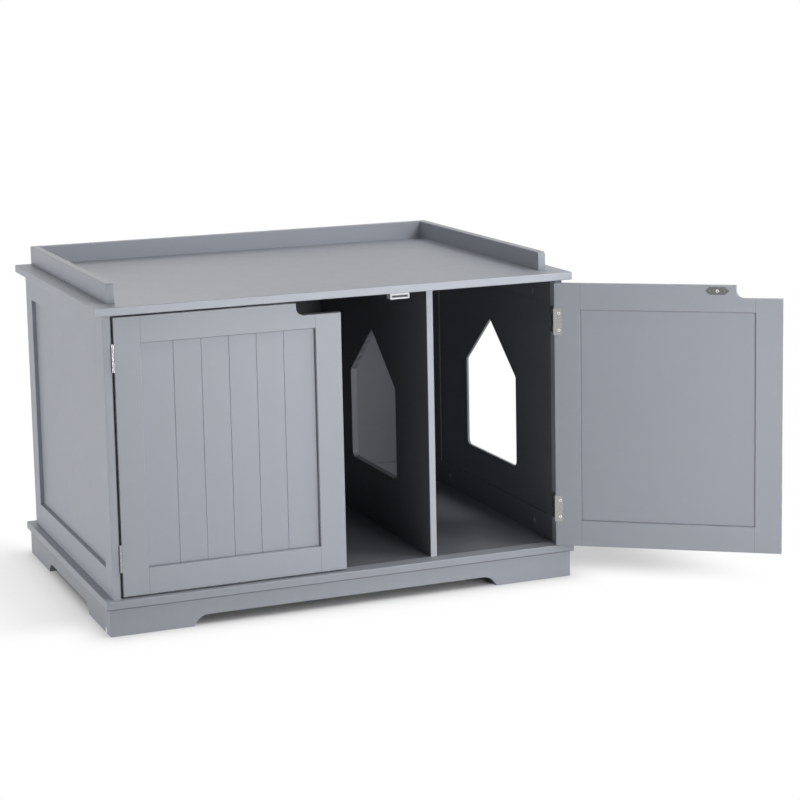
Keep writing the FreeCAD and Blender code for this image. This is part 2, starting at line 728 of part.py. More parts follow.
def hinge_pins():
    """The left hinges' pins."""
    return [Part.makeCylinder(PIN_RADIUS, HINGE_LENGTH,
                              vec(-AXIS_X, AXIS_Y, centre - HINGE_LENGTH / 2))
            for centre in HINGE_CENTRES]


# ---- The cabinet ----

def fasten_sides(frame, cams, bolts, seats):
    """A side frame with its cam bores and its hinge screws' holes."""
    frame["top_rail"] = cut_all(frame["top_rail"], cams + bolts)
    frame["bottom_rail"] = cut_all(frame["bottom_rail"], cams + bolts)
    frame["front_stile"] = cut_all(frame["front_stile"], seats)
    return frame


def left_side():
    """The left side's frame, its outer face to the left."""
    frame = wall_frame(CARCASS_DEPTH)
    corner = vec(-SIDE_OUTER, CARCASS_REAR, BASE_TOP)
    turned = {name: placed(shape, -90, corner) for name, shape in frame.items()}
    turned["back_stile"] = turned.pop("first_stile")
    turned["front_stile"] = turned.pop("last_stile")
    return turned


def back_wall():
    """The back's frame between the sides, its outer face to the rear."""
    frame = wall_frame(2 * SIDE_INNER)
    corner = vec(SIDE_INNER, CARCASS_REAR, BASE_TOP)
    turned = {name: placed(shape, 180, corner) for name, shape in frame.items()}
    turned["right_stile"] = turned.pop("first_stile")
    turned["left_stile"] = turned.pop("last_stile")
    return turned


def divider(seats):
    """The divider behind the doors, with its doorway."""
    front = DOOR_REAR + DIVIDER_DOOR_GAP
    right = DIVIDER_FROM_CENTRE + DIVIDER_THICK
    plank = block(DIVIDER_FROM_CENTRE, right, front, BACK_INNER, BASE_TOP, TOP_UNDER)
    return cut_all(plank.cut(doorway_cutter(DIVIDER_FROM_CENTRE - MARGIN, right + MARGIN)), seats)


def cabinet_pieces():
    """Every sub-part by node name."""
    pieces = {}
    places = cam_places()
    bolts = [cam_bolt(*place) for place in places]
    cams = [cam_drum(sign, y, z) for sign, y, z, way in places]
    dowels = divider_dowels()
    long_screws = gallery_screws()
    housings, magnets, poles, catch_screws = catch_pieces()

    pieces["top_board"] = board(TOP_UNDER, TOP_FACE, bolts + dowels + long_screws + catch_screws)
    pieces["base_board"] = board(PLINTH_HEIGHT, BASE_TOP, bolts + dowels)
    pieces.update(gallery_rails(long_screws))
    pieces.update(plinth())
    pieces["plinth_corner_blocks"] = Part.makeCompound(corner_blocks())
    pieces["gallery_screws"] = Part.makeCompound(long_screws)
    pieces["divider"] = divider(dowels)
    pieces["divider_dowels"] = Part.makeCompound(dowels)
    pieces["catch_housings"] = Part.makeCompound(housings)
    pieces["catch_magnets"] = Part.makeCompound(magnets)
    pieces["catch_pole_plates"] = Part.makeCompound(poles)
    pieces["catch_screws"] = Part.makeCompound(catch_screws)
    pieces["cam_bolts"] = Part.makeCompound(bolts)
    pieces["cam_locks"] = Part.makeCompound([cam.cut(bolt) for cam, bolt in zip(cams, bolts)])

    # Hinge screws start on the leaves' outer faces.
    frame_points = [vec(-SIDE_INNER + LEAF_THICK, CARCASS_FRONT + FRAME_SCREW_FROM_FRONT, z)
                    for z in leaf_screw_levels()]
    frame_screws = wood_screws(frame_points, vec(1, 0, 0))
    door_points = [vec(-DOOR_EDGE + DOOR_SCREW_FROM_EDGE, DOOR_REAR + LEAF_THICK, z)
                   for z in leaf_screw_levels()]
    door_screws = wood_screws(door_points, vec(0, 1, 0))
    strike_screws = wood_screws([strike_screw_point()], vec(0, 1, 0))

    side = fasten_sides(left_side(), cams, bolts, frame_screws)
    for name, shape in side.items():
        pieces["left_side_" + name] = shape
    opposite = {name: mirrored(shape) for name, shape in side.items()}
    opposite["panel"] = opposite["panel"].cut(doorway_cutter(SIDE_INNER, SIDE_OUTER))
    for name, shape in opposite.items():
        pieces["right_side_" + name] = shape
    for name, shape in back_wall().items():
        pieces["back_" + name] = shape

    door = door_frame()
    door["hinge_stile"] = cut_all(door.pop("first_stile"), door_screws)
    door["free_stile"] = door.pop("last_stile")
    door["top_rail"] = cut_all(door["top_rail"], strike_screws)
    door["hinge_leaves"] = Part.makeCompound([door_leaf(z, door_screws) for z in HINGE_CENTRES])
    door["hinge_screws"] = Part.makeCompound(door_screws)
    door["strike_plate"] = strike_plate(strike_screws)
    door["strike_screw"] = strike_screws[0]
    for name, shape in door.items():
        pieces["left_door_" + name] = shape
        pieces["right_door_" + name] = swung(mirrored(shape))

    frame_leaves = [frame_leaf(z, frame_screws) for z in HINGE_CENTRES]
    for name, solids in (("frame_hinge_leaves", frame_leaves),
                         ("frame_hinge_screws", frame_screws),
                         ("hinge_pins", hinge_pins())):
        both = solids + [mirrored(solid) for solid in solids]
        pieces[name] = Part.makeCompound(both)
    return pieces


def main():
    """Write one file per sub-part."""
    os.makedirs("parts", exist_ok=True)
    for name, shape in cabinet_pieces().items():
        shape.exportStep("parts/" + name + ".step")


main()
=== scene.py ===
"""The finish of a cat litter box cabinet: paint, fittings, lamps and camera.

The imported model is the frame. Its boards and fittings keep their shapes and get their
finish here. Turned screws and cams take the place of its few-sided ones.
"""

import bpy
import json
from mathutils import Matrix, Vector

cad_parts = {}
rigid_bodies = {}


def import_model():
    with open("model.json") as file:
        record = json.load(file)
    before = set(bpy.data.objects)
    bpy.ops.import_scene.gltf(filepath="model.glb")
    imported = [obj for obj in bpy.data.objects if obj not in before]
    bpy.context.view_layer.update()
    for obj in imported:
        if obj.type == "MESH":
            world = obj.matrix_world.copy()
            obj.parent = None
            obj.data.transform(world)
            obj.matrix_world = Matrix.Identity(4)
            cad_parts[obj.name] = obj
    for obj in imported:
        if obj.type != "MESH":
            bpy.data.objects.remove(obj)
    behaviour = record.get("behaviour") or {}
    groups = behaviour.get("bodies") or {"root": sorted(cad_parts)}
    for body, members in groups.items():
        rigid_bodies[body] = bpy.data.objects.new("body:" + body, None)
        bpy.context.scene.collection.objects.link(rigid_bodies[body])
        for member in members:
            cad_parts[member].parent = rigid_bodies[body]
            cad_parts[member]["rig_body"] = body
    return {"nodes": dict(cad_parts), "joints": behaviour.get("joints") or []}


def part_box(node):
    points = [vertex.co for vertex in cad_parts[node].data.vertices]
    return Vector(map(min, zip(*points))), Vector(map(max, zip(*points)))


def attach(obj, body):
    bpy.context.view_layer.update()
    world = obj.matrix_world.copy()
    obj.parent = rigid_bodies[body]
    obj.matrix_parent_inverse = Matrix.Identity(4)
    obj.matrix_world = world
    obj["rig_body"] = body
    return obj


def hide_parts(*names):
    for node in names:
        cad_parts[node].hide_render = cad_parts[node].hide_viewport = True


bl_info = {
    "name": "Litter box cabinet finish",
    "version": (1, 0, 0),
    "blender": (4, 5, 0),
    "location": "View3D > Sidebar > Cabinet",
    "description": "Paint, fittings and studio for a cat litter box cabinet",
    "category": "Object",
}

import json
import math

import bmesh
import bpy
import numpy as np
from bpy.props import FloatProperty, FloatVectorProperty, IntProperty, PointerProperty
from mathutils import Matrix, Vector

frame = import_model()
NODES = frame["nodes"]
MM = 0.001


def length(name, description, millimetres):
    """A size that the user may change, in metres."""
    return FloatProperty(name=name, description=description, default=millimetres * MM,
                         min=0.0, precision=5, subtype="DISTANCE", unit="LENGTH")


def amount(name, description, default, most=1.0):
    """A plain number that the user may change."""
    return FloatProperty(name=name, description=description, default=default,
                         min=0.0, max=most, precision=3)


def colour(name, description, default):
    """A colour that the user may change, in linear values."""
    return FloatVectorProperty(name=name, description=description, default=default,
                               size=3, min=0.0, max=1.0, subtype="COLOR")


def angle(name, description, degrees):
    """An angle that the user may change."""
    return FloatProperty(name=name, description=description, default=math.radians(degrees),
                         subtype="ANGLE", unit="ROTATION")


# ---- What a user may change ----

class PaintSettings(bpy.types.PropertyGroup):
    """The satin paint on the boards, with the painted light and shade laid into its colour."""

    shade: colour("Shade", "Colour of the paint on the boards", (0.375, 0.395, 0.438))
    panel_shade: colour("Panel shade", "Colour of the paint on the thin panels",
                        (0.372, 0.392, 0.436))
    worn_shade: colour("Worn shade", "Colour where the paint is rubbed thin on an edge",
                       (0.52, 0.54, 0.58))
    primer: colour("Primer", "Colour of the primer under a chip", (0.86, 0.85, 0.82))
    roughness: amount("Roughness", "Roughness of the satin paint", 0.42)
    gloss: amount("Gloss", "Specular level of the satin paint", 0.25)
    mottle: amount("Mottle", "How much the colour drifts across a board", 0.05)
    # Painted shade: the paint inside the cabinet is darkened to stand in for the shade there.
    inside_painted_shade: amount("Inside tone", "Tone of the paint inside the cabinet over the outside",
                        0.46)
    # Painted shade: the doors' backs are darkened to stand in for the light falling less on
    # them.
    door_back_painted_shade: amount("Back tone", "Tone of the paint on the doors' backs over the outside",
                      0.82)
    # Painted highlight: the front edges of the top and the divider are made lighter, as if lit
    # more.
    edge_tone: amount("Edge tone", "Tone of the paint on the top's and divider's front edges",
                      1.2, 2.0)
    # Painted highlight: the walls of the doors' grooves are made lighter, as if they caught
    # the light.
    groove_painted_highlight: amount("Groove tone", "Tone of the paint that has run into the grooves", 1.7,
                        3.0)
    # Painted light: the gallery's back rail is made lighter, to stand in for light that
    # doesn't reach it.
    back_rail_painted_light: amount("Rail tone", "Tone of the paint on the back rail over the rest", 1.2,
                      2.0)
    # Painted shade: the base's front edge and the plinth are darkened, as the light is weaker
    # low down.
    base_painted_shade: amount("Base tone", "Tone of the paint on the base's front edge and the plinth",
                      0.86)
    wear: amount("Edge wear", "How much of an edge is rubbed thin", 0.35)
    peel: length("Peel", "Depth of the sprayed paint's dimples", 0.03)
    # Painted shade: a wide dark line is laid in the corners round the panels and under the
    # base's edge.
    crevice_painted_shade_width: length("Crevice width", "Half the width of the dark line in a corner", 2.6)
    crevice_painted_shade: amount("Crevice", "How dark that line is", 0.6)
    # Painted shade: the arrises beside a door's gap are darkened to deepen the shade in the
    # gap.
    gap_painted_shade: amount("Gap tone", "Tone of the paint on the arrises beside a door's gap", 0.25)
    gap_shade_width: length("Gap width", "Width of that dark arris", 1.4)
    joint_width: length("Joint width", "Half the width of the hairline in a joint", 1.2)
    joint: amount("Joint", "How dark that hairline is", 0.55)
    chip_radius: length("Chip radius", "Radius of the chip on the left plinth board", 7.0)
    chip_place: FloatVectorProperty(
        name="Chip place", description="Where the chip is from the plinth board's low corner",
        default=(0.0, 0.0304, 0.0050), size=3, subtype="TRANSLATION", unit="LENGTH")


class FittingSettings(bpy.types.PropertyGroup):
    """The metal, plastic and wood of the fittings."""

    nickel: colour("Nickel", "Colour of the nickel-plated hinges", (0.36, 0.36, 0.355))
    bright: colour("Bright nickel", "Colour of the screws", (0.78, 0.78, 0.77))
    strike: colour("Strike plate", "Colour of the dull steel strike plates",
                   (0.13, 0.13, 0.13))
    zinc: colour("Zinc", "Colour of the cast cams", (0.36, 0.36, 0.37))
    plastic: colour("Plastic", "Colour of the catches' housings", (0.80, 0.82, 0.86))
    ferrite: colour("Ferrite", "Colour of the catches' magnets", (0.035, 0.035, 0.038))
    wood_light: colour("Light wood", "Pale rings of the bare wood", (0.62, 0.47, 0.29))
    wood_dark: colour("Dark wood", "Dark rings of the bare wood", (0.40, 0.26, 0.13))


class ScrewSettings(bpy.types.PropertyGroup):
    """The cross-headed screws."""

    sides: IntProperty(name="Sides", description="Number of sides of a screw",
                       default=24, min=8, max=64)
    crown: length("Crown", "How far a door leaf's screw stands proud", 0.35)
    flush_crown: length("Flush crown", "How far the other screws stand proud", 0.15)
    cone: length("Cone", "Depth of a head's cone below its plate", 1.2)
    shank_radius: length("Shank radius", "Radius of a screw's shank", 1.4)
    recess_span: amount("Recess span", "Length of the cross over the head's diameter", 0.62)
    recess_width: amount("Recess width", "Width of the cross over the head's diameter", 0.16)
    recess_depth: length("Recess depth", "Depth of the cross", 1.1)


class CamSettings(bpy.types.PropertyGroup):
    """The cams in the side rails."""

    sides: IntProperty(name="Sides", description="Number of sides of a cam",
                       default=32, min=8, max=64)
    rim: length("Rim", "Width of the raised rim", 0.9)
    dish: length("Dish", "Depth of the face below the rim", 0.5)
    recess_span: length("Recess span", "Length of the cross", 6.4)
    recess_width: length("Recess width", "Width of the cross", 1.4)
    recess_depth: length("Recess depth", "Depth of the cross", 1.8)
    edge: length("Edge", "Round on the rim's outer edge", 0.35)


class StudioSettings(bpy.types.PropertyGroup):
    """The floor, the lamps and the camera."""

    floor_shade: colour("Floor", "Colour of the floor", (0.80, 0.80, 0.80))
    contact: length("Contact", "How far the shadow under the base stays dark", 35.0)
    left_shade: amount("Left shade", "How much of the floor's shade shows on the left", 0.25)
    right_shade: amount("Right shade", "How much of it shows on the right, by the open door",
                        0.75)
    sky: amount("Sky", "Strength of the plain light from all round", 0.1, 4.0)
    heading: angle("Heading", "Turn of the camera about the upright", -21.88)
    tilt: angle("Tilt", "How far the camera looks down", 8.75)
    roll: angle("Roll", "Turn of the camera about its own line", -1.14)
    lens: FloatProperty(name="Lens", description="Focal length of the camera in millimetres",
                        default=98.7, min=10.0, max=300.0)
    shift: FloatProperty(name="Shift", description="Vertical shift of the camera",
                         default=-0.125, min=-1.0, max=1.0)
    stand: FloatVectorProperty(name="Stand", description="Where the camera stands",
                               default=(-1.3602, -4.2926, 1.1686), size=3,
                               subtype="TRANSLATION", unit="LENGTH")


# ---- Selecting and shaping ----

TOUCH = 1e-6  # metres between places that count as one
SMOOTH = math.radians(35)  # faces that meet at less than this are shaded as one
RECESS_TAPER = 0.7  # a cross recess's foot over its mouth
POINT_SHARE, POINT_TIP = 0.2, 0.2  # a screw's point over its shank: length and width


def clear_selection():
    """Leaves nothing selected."""
    if bpy.context.object and bpy.context.object.mode != "OBJECT":
        bpy.ops.object.mode_set(mode="OBJECT")
    for obj in bpy.context.view_layer.objects:
        obj.select_set(False)
    bpy.context.view_layer.objects.active = None


def take(obj):
    """Makes obj the only selected object."""
    clear_selection()
    obj.select_set(True)
    bpy.context.view_layer.objects.active = obj


def pick(obj, kind, wanted):
    """Selects, in edit mode, only obj's faces or edges for which wanted is true."""
    take(obj)
    bpy.ops.object.mode_set(mode="EDIT")
    bpy.ops.mesh.select_mode(type=kind)
    bpy.ops.mesh.select_all(action="DESELECT")
    shape = bmesh.from_edit_mesh(obj.data)
    found = [item for item in (shape.faces if kind == "FACE" else shape.edges) if wanted(item)]
    if not found:
        raise RuntimeError(f"nothing to select on {obj.name}")
    for item in found:
        item.select_set(True)
    bmesh.update_edit_mesh(obj.data)


def at_height(item, height):
    """Whether all of a face's or edge's corners are at that height."""
    return all(abs(vert.co.z - height) < TOUCH for vert in item.verts)


def cylinder(name, sides, radius, low, high):
    """A closed cylinder about the upright, with its place in its mesh."""
    clear_selection()
    bpy.ops.mesh.primitive_cylinder_add(vertices=sides, radius=radius, depth=high - low,
                                        location=(0, 0, (low + high) / 2))
    obj = bpy.context.object
    obj.name = name
    bpy.ops.object.transform_apply(location=True, rotation=False, scale=False)
    return obj


def cross_cutter(span, width, depth, top):
    """Two crossed wedges, narrower at the bottom, that cut a cross recess."""
    halves = []
    for size in ((span, width), (width, span)):
        clear_selection()
        bpy.ops.mesh.primitive_cube_add(size=1.0, location=(0, 0, top))
        wedge = bpy.context.object
        wedge.scale = (size[0], size[1], 2 * depth)
        bpy.ops.object.transform_apply(location=True, rotation=False, scale=True)
        pick(wedge, "FACE", lambda face: at_height(face, top - depth))
        bpy.ops.transform.resize(value=(RECESS_TAPER, RECESS_TAPER, 1.0))
        bpy.ops.object.mode_set(mode="OBJECT")
        halves.append(wedge)
    return halves


def cut_recess(obj, cutters):
    """Cuts each cutter out of obj and removes it."""
    for cutter in cutters:
        take(obj)
        modifier = obj.modifiers.new("recess", "BOOLEAN")
        modifier.operation = "DIFFERENCE"
        modifier.solver = "EXACT"
        modifier.object = cutter
        bpy.ops.object.modifier_apply(modifier=modifier.name)
        bpy.data.objects.remove(cutter)


def soil_and_shade_marks(obj, wanted):
    """Marks the corners where dirt gathers and where shade is painted, for the metal to read.
    """
    marks = obj.data.attributes.new("soil_and_shade", "FLOAT", "POINT")
    for vert in obj.data.vertices:
        marks.data[vert.index].value = 1.0 if wanted(vert.co) else 0.0


def screw_model(head_radius, crown, reach):
    """A cross-headed screw about the upright: its crown starts at height zero."""
    sizes = bpy.context.scene.cabinet_screw
    obj = cylinder("screw", sizes.sides, head_radius, 0.0, crown)
    pick(obj, "FACE", lambda face: at_height(face, 0.0))
    shank = reach - sizes.cone
    for drop, narrow in ((sizes.cone, sizes.shank_radius / head_radius),
                         (shank * (1 - POINT_SHARE), 1.0), (shank * POINT_SHARE, POINT_TIP)):
        bpy.ops.mesh.extrude_region_move(TRANSFORM_OT_translate={"value": (0, 0, -drop)})
        bpy.ops.transform.resize(value=(narrow, narrow, 1.0))
    pick(obj, "EDGE", lambda edge: at_height(edge, crown))
    bpy.ops.mesh.bevel(offset=crown * 0.85, segments=3, affect="EDGES")
    bpy.ops.object.mode_set(mode="OBJECT")
    width = 2 * head_radius
    cut_recess(obj, cross_cutter(width * sizes.recess_span, width * sizes.recess_width,
                                 sizes.recess_depth, crown))
    soil_and_shade_marks(obj, lambda spot: spot.z < crown * 0.4
               or (spot.xy.length < 0.9 * head_radius and spot.z < crown - 0.1 * MM))
    take(obj)
    bpy.ops.object.shade_smooth_by_angle(angle=SMOOTH)
    return obj


def cam_model(radius, depth):
    """A cam about the upright, with its face at height zero."""
    sizes = bpy.context.scene.cabinet_cam
    obj = cylinder("cam", sizes.sides, radius, -depth, 0.0)
    pick(obj, "FACE", lambda face: at_height(face, 0.0))
    bpy.ops.mesh.inset(thickness=sizes.rim)
    bpy.ops.mesh.extrude_region_move(TRANSFORM_OT_translate={"value": (0, 0, -sizes.dish)})
    pick(obj, "EDGE", lambda edge: at_height(edge, 0.0)
         and all(vert.co.xy.length > radius - TOUCH for vert in edge.verts))
    bpy.ops.mesh.bevel(offset=sizes.edge, segments=2, affect="EDGES")
    bpy.ops.object.mode_set(mode="OBJECT")
    cut_recess(obj, cross_cutter(sizes.recess_span, sizes.recess_width,
                                 sizes.recess_depth, -sizes.dish))
    soil_and_shade_marks(obj, lambda spot: spot.z < -sizes.dish - 0.1 * MM)
    take(obj)
    bpy.ops.object.shade_smooth_by_angle(angle=SMOOTH)
    return obj


# ---- Where the model's fasteners are ----

def solids_of(node):
    """The corners of each separate solid in a node, as arrays."""
    mesh = NODES[node].data
    corners = np.array([vert.co for vert in mesh.vertices], float)
    keys, index = np.unique(np.round(corners, 6), axis=0, return_inverse=True)
    index = index.ravel()
    parent = list(range(len(keys)))

    def root(item):
        while parent[item] != item:
            parent[item] = parent[parent[item]]
            item = parent[item]
        return item

    for face in mesh.polygons:
        first, *others = (root(index[vert]) for vert in face.vertices)
        for other in others:
            parent[root(other)] = root(first)
    groups = {}
    for item in range(len(keys)):
        groups.setdefault(root(item), []).append(keys[item])
    found = [np.array(group) for group in groups.values()]
    return sorted(found, key=lambda group: tuple(np.round(group.mean(0), 4)))


def screw_seat(corners):
    """(middle of the head's top, outward direction, head radius, whole length) of a screw."""
    middle = corners.mean(0)
    axis = np.linalg.svd(corners - middle)[2][0]
    along = (corners - middle) @ axis
    away = np.linalg.norm(corners - middle - np.outer(along, axis), axis=1)
    ends = [away[np.abs(along - end) < 10 * TOUCH].max()
            for end in (along.min(), along.max())]
    if ends[0] > ends[1]:
        axis, along = -axis, -along
    top = corners[np.abs(along - along.max()) < 10 * TOUCH].mean(0)
    return Vector(top), Vector(axis), float(max(ends)), float(along.max() - along.min())


def facing(direction, turn):
    """The rotation that takes the upright to a direction, after a turn about itself."""
    lean = Vector((0, 0, 1)).rotation_difference(Vector(direction))
    return lean.to_matrix().to_4x4() @ Matrix.Rotation(turn, 4, "Z")


def set_in_place(model, places, name):
    """Copies a model to each place, with a mesh of its own, and joins the copies."""
    copies = []
    for spot, direction, turn in places:
        copy = model.copy()
        copy.data = model.data.copy()
        bpy.context.scene.collection.objects.link(copy)
        copy.data.transform(Matrix.Translation(spot) @ facing(direction, turn))
        copies.append(copy)
    bpy.data.objects.remove(model)
    clear_selection()
    for copy in copies:
        copy.select_set(True)
    bpy.context.view_layer.objects.active = copies[0]
    if len(copies) > 1:
        bpy.ops.object.join()
    piece = bpy.context.view_layer.objects.active
    piece.name = name
    return piece


def stand_for(piece, node, material):
    """Puts a piece in the place of a node."""
    piece.data.materials.clear()
    piece.data.materials.append(material)
    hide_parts(node)
    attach(piece, NODES[node]["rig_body"])


# ---- Shader groups ----

# Noise patterns: turns in a metre, detail and roughness.
PAINT_DRIFT, PAINT_CLOUD, PAINT_SPECK = (4.0, 3.0, 0.55), (38.0, 3.0, 0.6), (900.0, 1.0, 0.5)
PAINT_RUB, PAINT_DIMPLES, CHIP_EDGE = (55.0, 4.0, 0.65), (420.0, 2.0, 0.5), (700.0, 2.0, 0.5)
METAL_GRAIN, METAL_PATCHES = (2600.0, 2.0, 0.6), (260.0, 3.0, 0.6)
PLASTIC_GRAIN, PLASTIC_FLOW = (3000.0, 2.0, 0.5), (120.0, 3.0, 0.6)
WOOD_PORES = (1500.0, 2.0, 0.6)
WOOD_RINGS = {"Scale": 90.0, "Distortion": 5.0, "Detail": 3.0, "Detail Scale": 1.5}
ARRIS = (0.97, 0.86)  # the largest part of the normal on a face, and on an eased edge
# Near-black of dirt and painted shade in the recesses of screws and cams.
SOIL_AND_SHADE = (0.03, 0.03, 0.03, 1.0)
LEAST_ROUGH = 0.05
VECTOR, FLOAT, COLOUR = "NodeSocketVector", "NodeSocketFloat", "NodeSocketColor"
SURFACE = (("Color", COLOUR), ("Roughness", FLOAT), ("Height", FLOAT))


class Graph:
    """Adds nodes to a node tree and joins them up."""

    def __init__(self, tree):
        self.tree = tree

    def put(self, socket, value):
        """Links a value to an input, or sets it there."""
        if isinstance(value, bpy.types.NodeSocket):
            self.tree.links.new(value, socket)
        else:
            socket.default_value = value

    def add(self, kind, inputs=None, **settings):
        """A node with its settings, and its inputs set or linked by name or place."""
        node = self.tree.nodes.new(kind)
        for name, value in settings.items():
            setattr(node, name, value)
        for name, value in (inputs or {}).items():
            self.put(node.inputs[name], value)
        return node

    def math(self, operation, first, second=0.0):
        """One Math node's value."""
        return self.add("ShaderNodeMath", {0: first, 1: second},
                        operation=operation).outputs[0]

    def fold(self, operation, first, *others):
        """Values taken together by one operation, from left to right."""
        for value in others:
            first = self.math(operation, first, value)
        return first

    def times(self, *values):
        """Values multiplied."""
        return self.fold("MULTIPLY", *values)

    def plus(self, *values):
        """Values added."""
        return self.fold("ADD", *values)

    def minus(self, first, second):
        """One value less another."""
        return self.math("SUBTRACT", first, second)

    def size(self, value):
        """A value without its sign."""
        return self.math("ABSOLUTE", value)

    def sway(self, value, reach):
        """A value of 0 to 1 made to swing about zero, reach from end to end."""
        return self.times(self.minus(value, 0.5), reach)

    def ramp(self, value, low, high, start=0.0, end=1.0):
        """A value taken smoothly from one range to another."""
        return self.add("ShaderNodeMapRange",
                        {"Value": value, "From Min": low, "From Max": high,
                         "To Min": start, "To Max": end},
                        interpolation_type="SMOOTHSTEP", clamp=True).outputs["Result"]

    def patch(self, *spans):
        """1 where every (value, start, end) has risen from its start to its end."""
        return self.times(*(self.ramp(*span) for span in spans))

    def noise(self, position, scale, detail, roughness):
        """A noise's value."""
        return self.add("ShaderNodeTexNoise",
                        {"Vector": position, "Scale": scale, "Detail": detail,
                         "Roughness": roughness}).outputs["Fac"]

    def blend(self, factor, first, second):
        """Two colours mixed."""
        return self.add("ShaderNodeMix", {0: factor, 6: first, 7: second},
                        data_type="RGBA").outputs[2]

    def toned(self, shade, level):
        """A colour made lighter or darker."""
        return self.add("ShaderNodeVectorMath", {0: shade, "Scale": level},
                        operation="SCALE").outputs["Vector"]

    def between(self, first, second, operation, result):
        """What a vector operation makes of two vectors."""
        return self.add("ShaderNodeVectorMath", {0: first, 1: second},
                        operation=operation).outputs[result]

    def drawn_out(self, position, along):
        """A position that makes a pattern longer along the upright."""
        return self.add("ShaderNodeMapping", {"Vector": position, "Scale": (1.0, 1.0, along)},
                        vector_type="POINT").outputs["Vector"]

    def split(self, vector):
        """A vector's X, Y and Z, by those names."""
        parts = self.add("ShaderNodeSeparateXYZ", {"Vector": vector})
        return {axis: parts.outputs[axis] for axis in "XYZ"}

    def place(self):
        """The place of a point on its piece."""
        return self.add("ShaderNodeTexCoord").outputs["Object"]

    def held_rough(self, *parts):
        """A roughness added up from its parts and kept in range."""
        rough = self.math("MAXIMUM", self.plus(*parts), LEAST_ROUGH)
        return self.math("MINIMUM", rough, 1.0)

    def seen_itself(self):
        """1 on the rays by which the camera, gloss and glass see a background."""
        rays = self.add("ShaderNodeLightPath").outputs
        return self.fold("MAXIMUM", rays["Is Glossy Ray"], rays["Is Transmission Ray"],
                         rays["Is Camera Ray"])


def shader_group(*inputs):
    """Makes a function the maker of a shader group with these inputs, which it builds once.
    The function gives the group's colour, roughness and height."""
    def taken(build):
        def find():
            tree = bpy.data.node_groups.get(build.__name__)
            if tree:
                return tree
            tree = bpy.data.node_groups.new(build.__name__, "ShaderNodeTree")
            for label, kind, default in inputs:
                socket = tree.interface.new_socket(name=label, in_out="INPUT",
                                                   socket_type=kind)
                if default is not None:
                    socket.default_value = default
            for label, kind in SURFACE:
                tree.interface.new_socket(name=label, in_out="OUTPUT", socket_type=kind)
            given = tree.nodes.new("NodeGroupInput").outputs
            sent = tree.nodes.new("NodeGroupOutput").inputs
            for (label, _), value in zip(SURFACE, build(Graph(tree), given)):
                tree.links.new(value, sent[label])
            return tree
        return find
    return taken


@shader_group(("Position", VECTOR, None), ("Facing", VECTOR, None),
              ("Shade", COLOUR, (0.4, 0.4, 0.4, 1.0)), ("Worn", COLOUR, (0.6, 0.6, 0.6, 1.0)),
              ("Roughness", FLOAT, 0.4), ("Mottle", FLOAT, 0.05), ("Wear", FLOAT, 0.3),
              ("Tone", FLOAT, 1.0))
def paint_film(graph, given):
    """Sprayed satin paint: drift of colour, dimples, and edges that are rubbed thin."""
    position = given["Position"]
    cloud = graph.noise(position, *PAINT_CLOUD)
    speck = graph.noise(position, *PAINT_SPECK)
    drift = graph.plus(graph.sway(graph.noise(position, *PAINT_DRIFT), 1.0),
                       graph.sway(cloud, 0.45), graph.sway(speck, 0.5))
    # Tone lays painted light and shade in: it makes the paint lighter or darker in boxes.
    level = graph.times(graph.plus(graph.times(drift, given["Mottle"]), 1.0), given["Tone"])
    sides = [graph.size(part) for part in graph.split(given["Facing"]).values()]
    arris = graph.ramp(graph.fold("MAXIMUM", *sides), *ARRIS)
    rub = graph.ramp(graph.noise(position, *PAINT_RUB), 0.42, 0.68)
    rubbed = graph.times(arris, rub, given["Wear"])
    rough = graph.held_rough(given["Roughness"], graph.sway(cloud, 0.16),
                             graph.sway(speck, 0.08), graph.times(rubbed, 0.12))
    return (graph.blend(rubbed, graph.toned(given["Shade"], level), given["Worn"]), rough,
            graph.noise(position, *PAINT_DIMPLES))


@shader_group(("Position", VECTOR, None), ("Shade", COLOUR, (0.6, 0.6, 0.6, 1.0)),
              ("Roughness", FLOAT, 0.3), ("Grain", FLOAT, 0.1), ("Tarnish", FLOAT, 0.2),
              ("Soil", FLOAT, 0.0))
def brushed_metal(graph, given):
    """Plated or cast metal: fine grain, dull patches, and dirt with painted shade in its
    recesses.
    """
    position = given["Position"]
    grain = graph.noise(graph.drawn_out(position, 0.08), *METAL_GRAIN)
    dull = graph.times(graph.ramp(graph.noise(position, *METAL_PATCHES), 0.5, 0.75),
                       given["Tarnish"])
    clean = graph.blend(dull, given["Shade"], graph.toned(given["Shade"], 0.55))
    rough = graph.held_rough(given["Roughness"], graph.sway(grain, given["Grain"]),
                             graph.times(dull, 0.35))
    return graph.blend(given["Soil"], clean, SOIL_AND_SHADE), rough, grain


@shader_group(("Position", VECTOR, None), ("Light", COLOUR, (0.6, 0.5, 0.3, 1.0)),
              ("Dark", COLOUR, (0.4, 0.3, 0.2, 1.0)))
def wood_rings(graph, given):
    """Bare softwood: pale and dark rings along the grain, and pores."""
    along = graph.drawn_out(given["Position"], 0.12)
    rings = graph.add("ShaderNodeTexWave", {"Vector": along, **WOOD_RINGS}).outputs["Fac"]
    pores = graph.noise(along, *WOOD_PORES)
    tone = graph.plus(graph.times(rings, 0.7), graph.times(pores, 0.4))
    return (graph.blend(graph.ramp(tone, 0.2, 0.9), given["Light"], given["Dark"]),
            graph.ramp(pores, 0.3, 0.7, 0.6, 0.8), pores)


